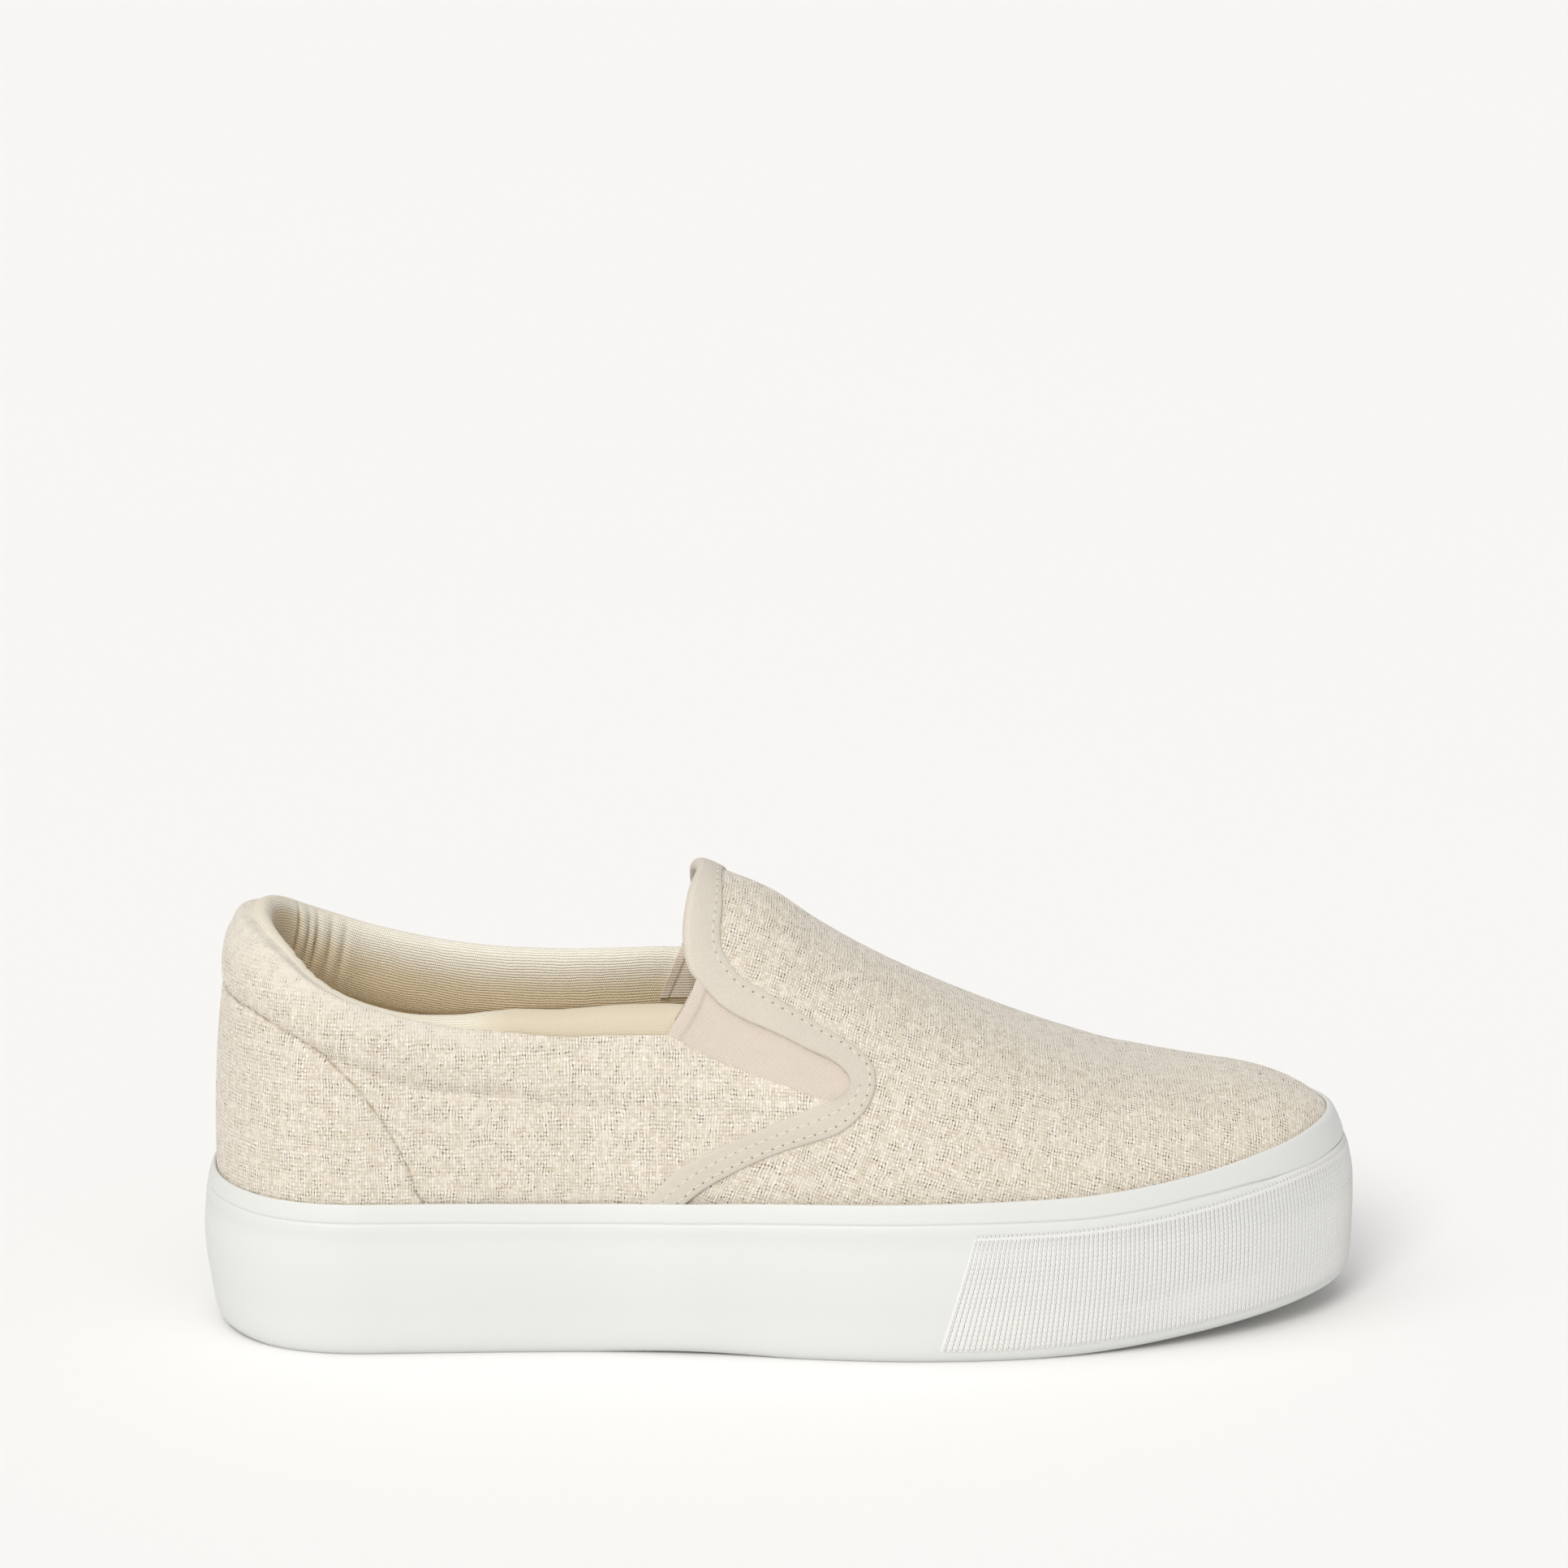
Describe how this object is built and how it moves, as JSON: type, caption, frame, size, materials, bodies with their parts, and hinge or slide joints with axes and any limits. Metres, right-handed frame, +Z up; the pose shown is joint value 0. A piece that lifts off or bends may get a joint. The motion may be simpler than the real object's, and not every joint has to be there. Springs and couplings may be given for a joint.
{
  "type": "canvas slip-on sneaker",
  "caption": "Low slip-on shoe with a woven canvas upper, side elastic wedges, a padded collar and a thick white rubber platform sole with a ribbed toe strip.",
  "frame": {"origin": "on the floor plane under the middle of the shoe's length and width", "axes": "+X from heel to toe, +Y to the medial side (the wearer's left, this being a right shoe), +Z up"},
  "size_m": [0.2705, 0.0998, 0.1092],
  "materials": {
    "white_rubber": "satin",
    "textured_rubber": "fine ribbed, matt",
    "linen_canvas": "plain weave, matt",
    "elastic_gore": "ribbed knit, matt",
    "lining_cloth": "knit, matt",
    "insole_cloth": "cloth, matt"
  },
  "bodies": {
    "root": {"sole": "white_rubber", "toe_bumper": "textured_rubber", "upper": "linen_canvas", "gore_lateral": "elastic_gore", "gore_medial": "elastic_gore", "collar_pad": "lining_cloth", "insole": "insole_cloth"}
  },
  "joints": []
}
